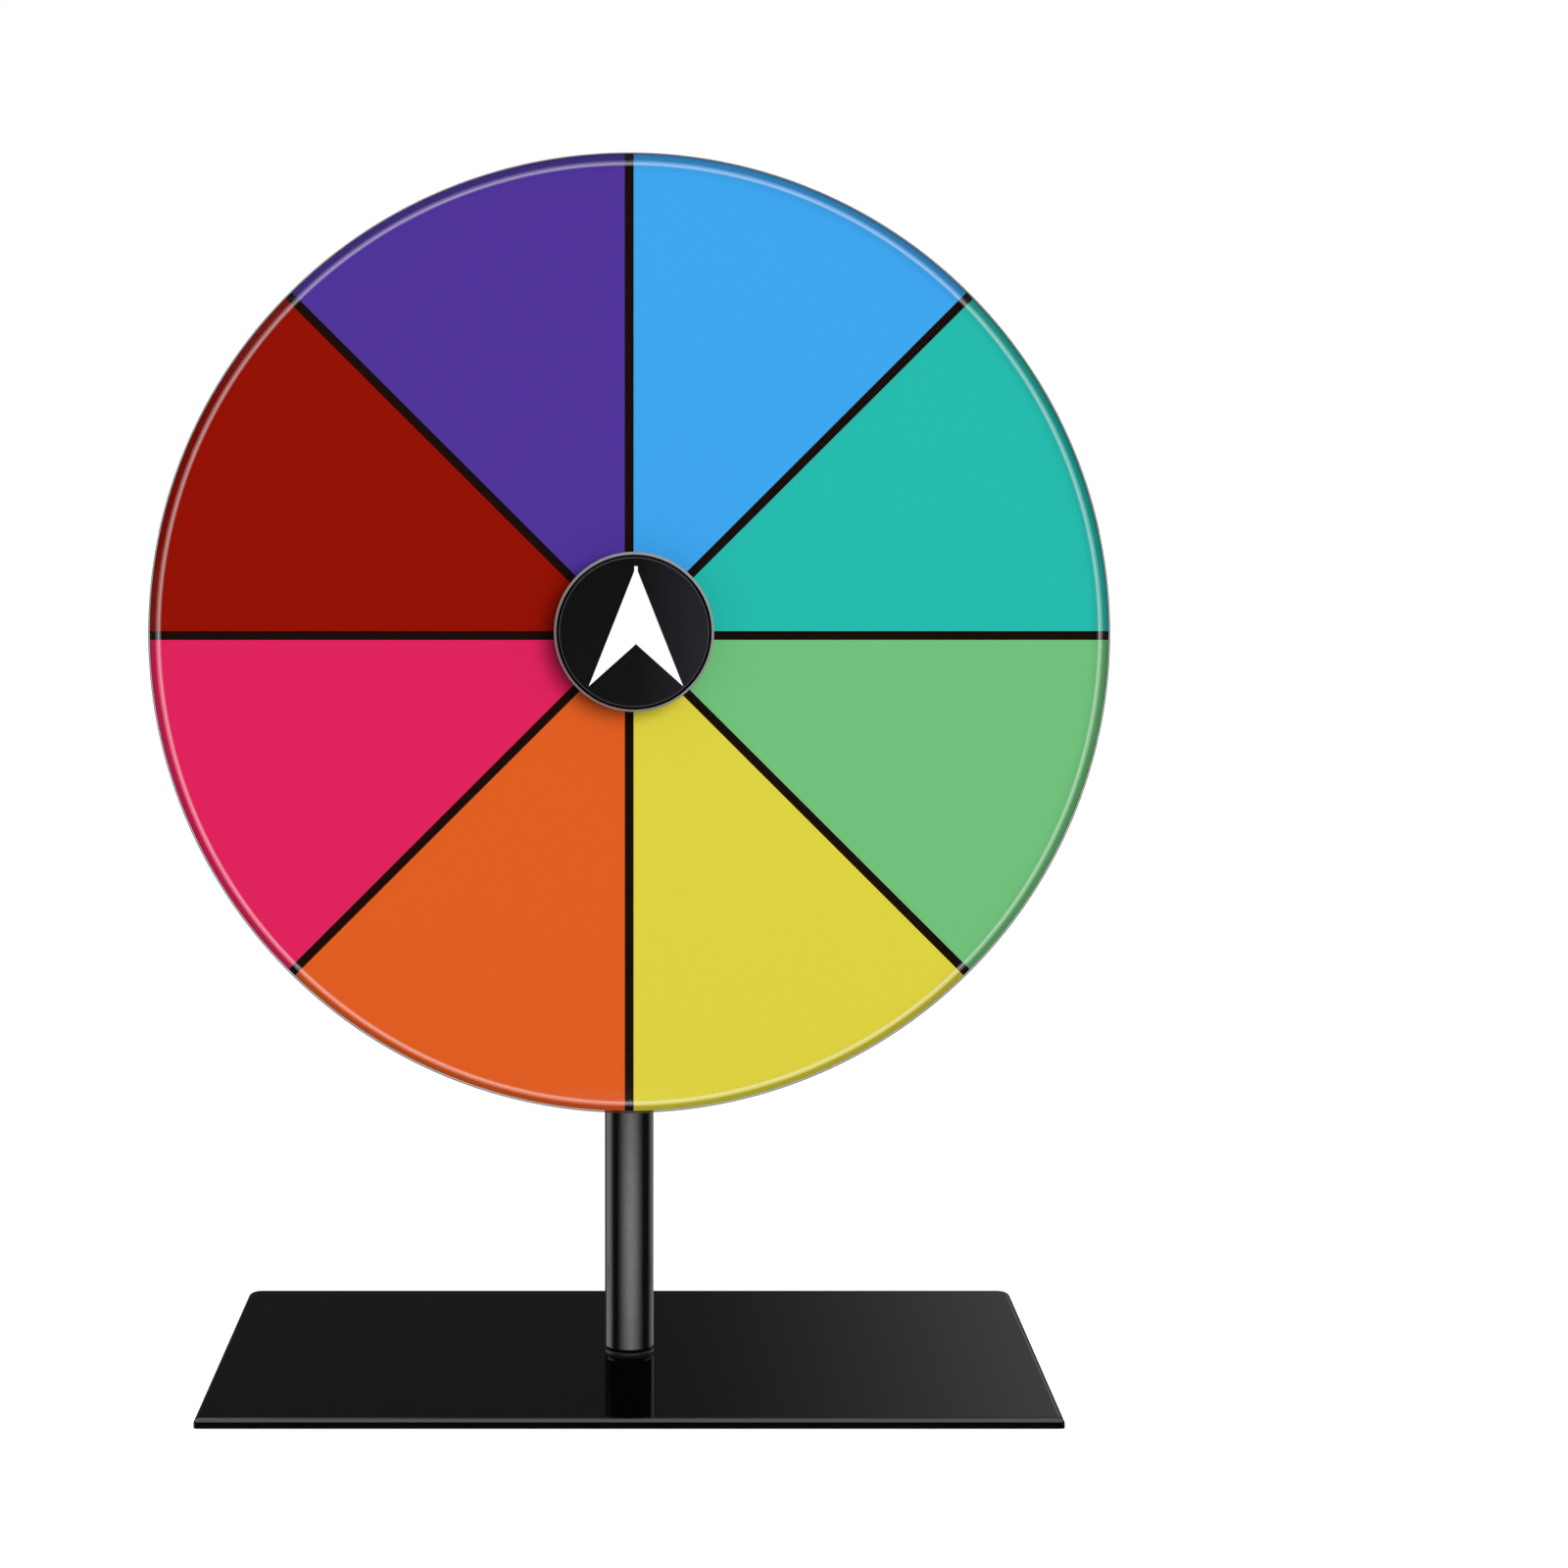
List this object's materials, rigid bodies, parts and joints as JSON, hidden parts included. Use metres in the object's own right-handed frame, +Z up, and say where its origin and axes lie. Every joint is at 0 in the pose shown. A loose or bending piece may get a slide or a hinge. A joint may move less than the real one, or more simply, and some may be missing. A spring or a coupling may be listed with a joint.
{
  "type": "game spinner",
  "caption": "Free-standing tabletop colour wheel that spins on a ball bearing in front of a post, behind a fixed centre arrow, on a flat rectangular base.",
  "frame": {"origin": "middle of the base's footprint, on the surface that the rubber feet stand on", "axes": "+Z up along the post, -Y towards the front that the wheel faces, +X to the right seen from the front; the wheel turns about an axis along Y"},
  "size_m": [0.2, 0.1, 0.2575],
  "materials": {
    "base_coat": "gloss black powder coat on steel sheet",
    "post_coat": "satin-gloss black paint on steel tube",
    "foot_rubber": "matte black rubber pad",
    "zinc_steel": "bright zinc-plated fastener steel",
    "nut_chrome": "polished plated dome",
    "bearing_steel": "ground and polished bearing steel",
    "shield_steel": "pressed sheet steel",
    "cage_nylon": "natural nylon",
    "black_plastic": "fine-grained black moulded plastic",
    "backing_board": "satin black rigid plastic sheet",
    "clear_acrylic": "clear polished acrylic sheet with a bevelled edge",
    "pointer_gloss": "gloss black moulded plastic",
    "arrow_white": "white printed film",
    "vinyl_teal": "teal vinyl film",
    "vinyl_blue": "blue vinyl film",
    "vinyl_purple": "purple vinyl film",
    "vinyl_dark_red": "dark red vinyl film",
    "vinyl_pink": "pink vinyl film",
    "vinyl_orange": "orange vinyl film",
    "vinyl_yellow": "yellow vinyl film",
    "vinyl_green": "green vinyl film"
  },
  "bodies": {
    "stand": {"base_plate": "base_coat", "foot_front_left": "foot_rubber", "foot_front_right": "foot_rubber", "foot_rear_left": "foot_rubber", "foot_rear_right": "foot_rubber", "base_screw": "zinc_steel", "post_foot_ring": "post_coat", "post_tube": "post_coat", "post_lower_insert": "zinc_steel", "post_top_cap": "black_plastic", "axle_bolt": "zinc_steel", "axle_spacer": "black_plastic", "rear_saddle": "black_plastic", "rear_washer": "zinc_steel", "acorn_nut": "nut_chrome", "bearing_shim": "zinc_steel", "bearing_inner_ring": "bearing_steel", "pointer_disc": "pointer_gloss", "pointer_arrow": "arrow_white"},
    "bearing_cage": {"bearing_cage": "cage_nylon", "bearing_ball_1": "bearing_steel", "bearing_ball_2": "bearing_steel", "bearing_ball_3": "bearing_steel", "bearing_ball_4": "bearing_steel", "bearing_ball_5": "bearing_steel", "bearing_ball_6": "bearing_steel", "bearing_ball_7": "bearing_steel"},
    "wheel": {"wheel_hub": "black_plastic", "front_clamp_ring": "black_plastic", "hub_screws": "zinc_steel", "backing_disc": "backing_board", "panel_teal": "vinyl_teal", "panel_blue": "vinyl_blue", "panel_purple": "vinyl_purple", "panel_dark_red": "vinyl_dark_red", "panel_pink": "vinyl_pink", "panel_orange": "vinyl_orange", "panel_yellow": "vinyl_yellow", "panel_green": "vinyl_green", "clear_cover": "clear_acrylic", "bearing_outer_ring": "bearing_steel", "bearing_shield_front": "shield_steel", "bearing_shield_rear": "shield_steel"}
  },
  "joints": [
    {"name": "wheel_spin", "type": "hinge", "parent": "stand", "child": "wheel", "pos_m": [0, 0, 0.1575], "axis": [0, -1, 0], "continuous": true},
    {"name": "cage_spin", "type": "hinge", "parent": "stand", "child": "bearing_cage", "pos_m": [0, 0, 0.1575], "axis": [0, -1, 0], "continuous": true}
  ],
  "couplings": [
    {"joint": "cage_spin", "follows": "wheel_spin", "ratio": 0.64}
  ]
}
